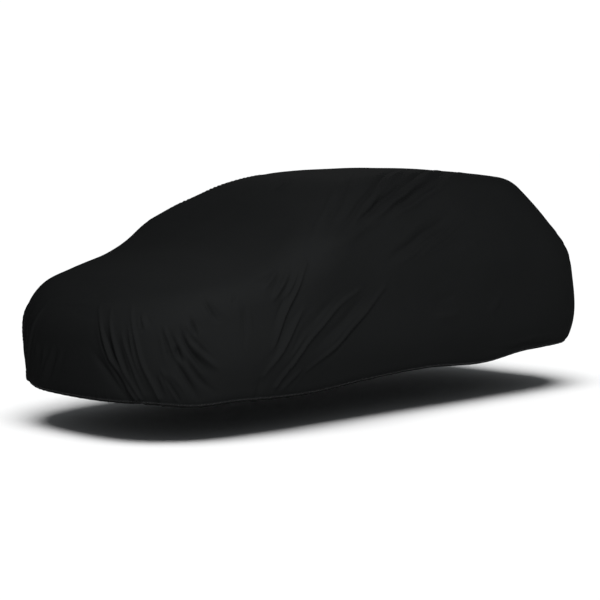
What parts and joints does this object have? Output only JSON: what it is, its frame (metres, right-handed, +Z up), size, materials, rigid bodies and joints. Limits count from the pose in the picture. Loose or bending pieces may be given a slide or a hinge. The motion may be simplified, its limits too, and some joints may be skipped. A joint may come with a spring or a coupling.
{
  "type": "car cover",
  "caption": "Fitted stretch-cloth cover for a small hatchback: a hollow, seamless-looking black shell, open underneath, drawn in by an elasticated hem, that keeps dust and scratches off.",
  "frame": {"origin": "on the inside of the cloth at the highest point of the roof, on the middle line of the cover, where the car's roof carries it; the ground lies 1.483 m below", "axes": "+Z up, the nose of the car points to -Y and the tail to +Y, and the car's left side is +X"},
  "size_m": [1.7795, 3.9641, 1.286],
  "materials": {
    "cover_cloth": "satin black knitted stretch cloth"
  },
  "bodies": {
    "root": {"cover": "cover_cloth"}
  },
  "joints": []
}
